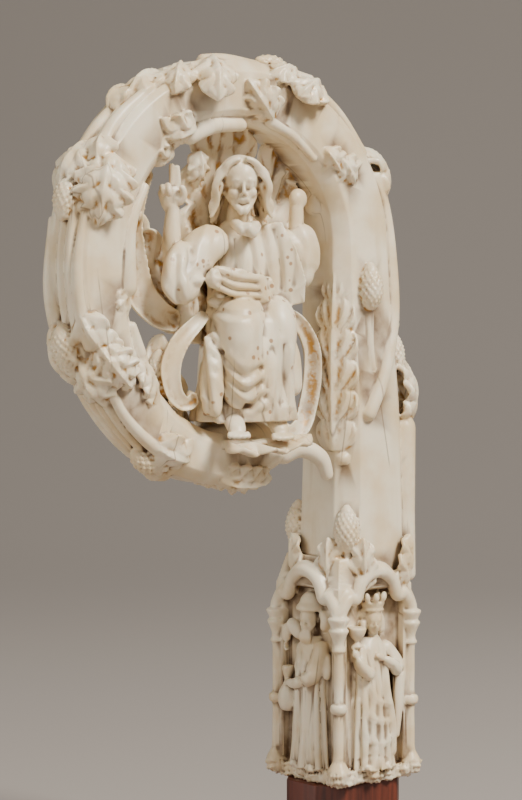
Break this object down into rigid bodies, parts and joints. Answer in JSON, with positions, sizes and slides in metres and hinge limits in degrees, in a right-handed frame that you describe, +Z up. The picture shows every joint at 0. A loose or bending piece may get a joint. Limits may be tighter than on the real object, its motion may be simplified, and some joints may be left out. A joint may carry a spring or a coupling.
{
  "type": "crosier head",
  "caption": "Ivory crosier head: leafy volute round a seated blessing figure, on an arcaded square foot held upright by a wooden stand.",
  "frame": {"origin": "middle of the stand's underside", "axes": "+Z up along the shaft; -Y is the front, where the seated figure looks; the shaft is on the +X side and the volute curls towards -X"},
  "size_m": [0.1446, 0.092, 0.2622],
  "materials": {
    "wood": "reddish-brown stained and waxed hardwood",
    "ivory": "carved and polished ivory with brown recesses and worn parcel gilding"
  },
  "bodies": {
    "root": {"wooden_stand": "wood", "ivory_crosier_head": "ivory"}
  },
  "joints": []
}
